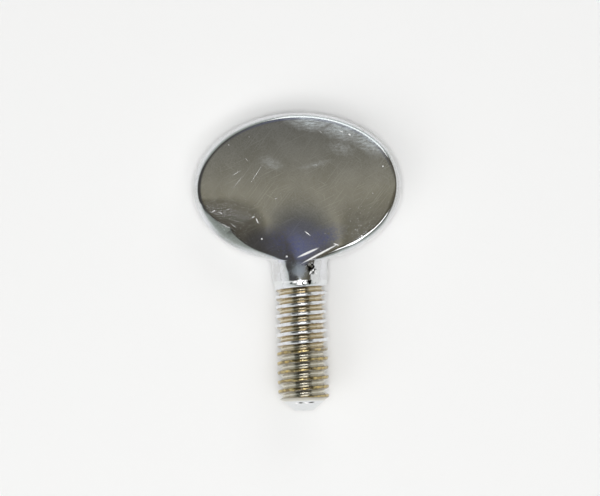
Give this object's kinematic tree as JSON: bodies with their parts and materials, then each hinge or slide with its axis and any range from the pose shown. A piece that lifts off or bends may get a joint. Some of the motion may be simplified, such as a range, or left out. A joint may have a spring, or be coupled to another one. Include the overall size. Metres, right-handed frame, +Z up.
{
  "type": "endpin screw",
  "caption": "Thumb screw that clamps a string instrument's endpin: a flat oval plate on a round neck, with a threaded shank and a chamfered tip.",
  "frame": {"origin": "on the floor, under the middle of the screw's bounding box as it lies at rest", "axes": "+Y from the tip towards the plate, +X across the plate, +Z up from the floor it lies on"},
  "size_m": [0.0222, 0.0318, 0.0065],
  "materials": {
    "plated_brass": "polished"
  },
  "bodies": {
    "root": {"endpin_screw": "plated_brass"}
  },
  "joints": []
}
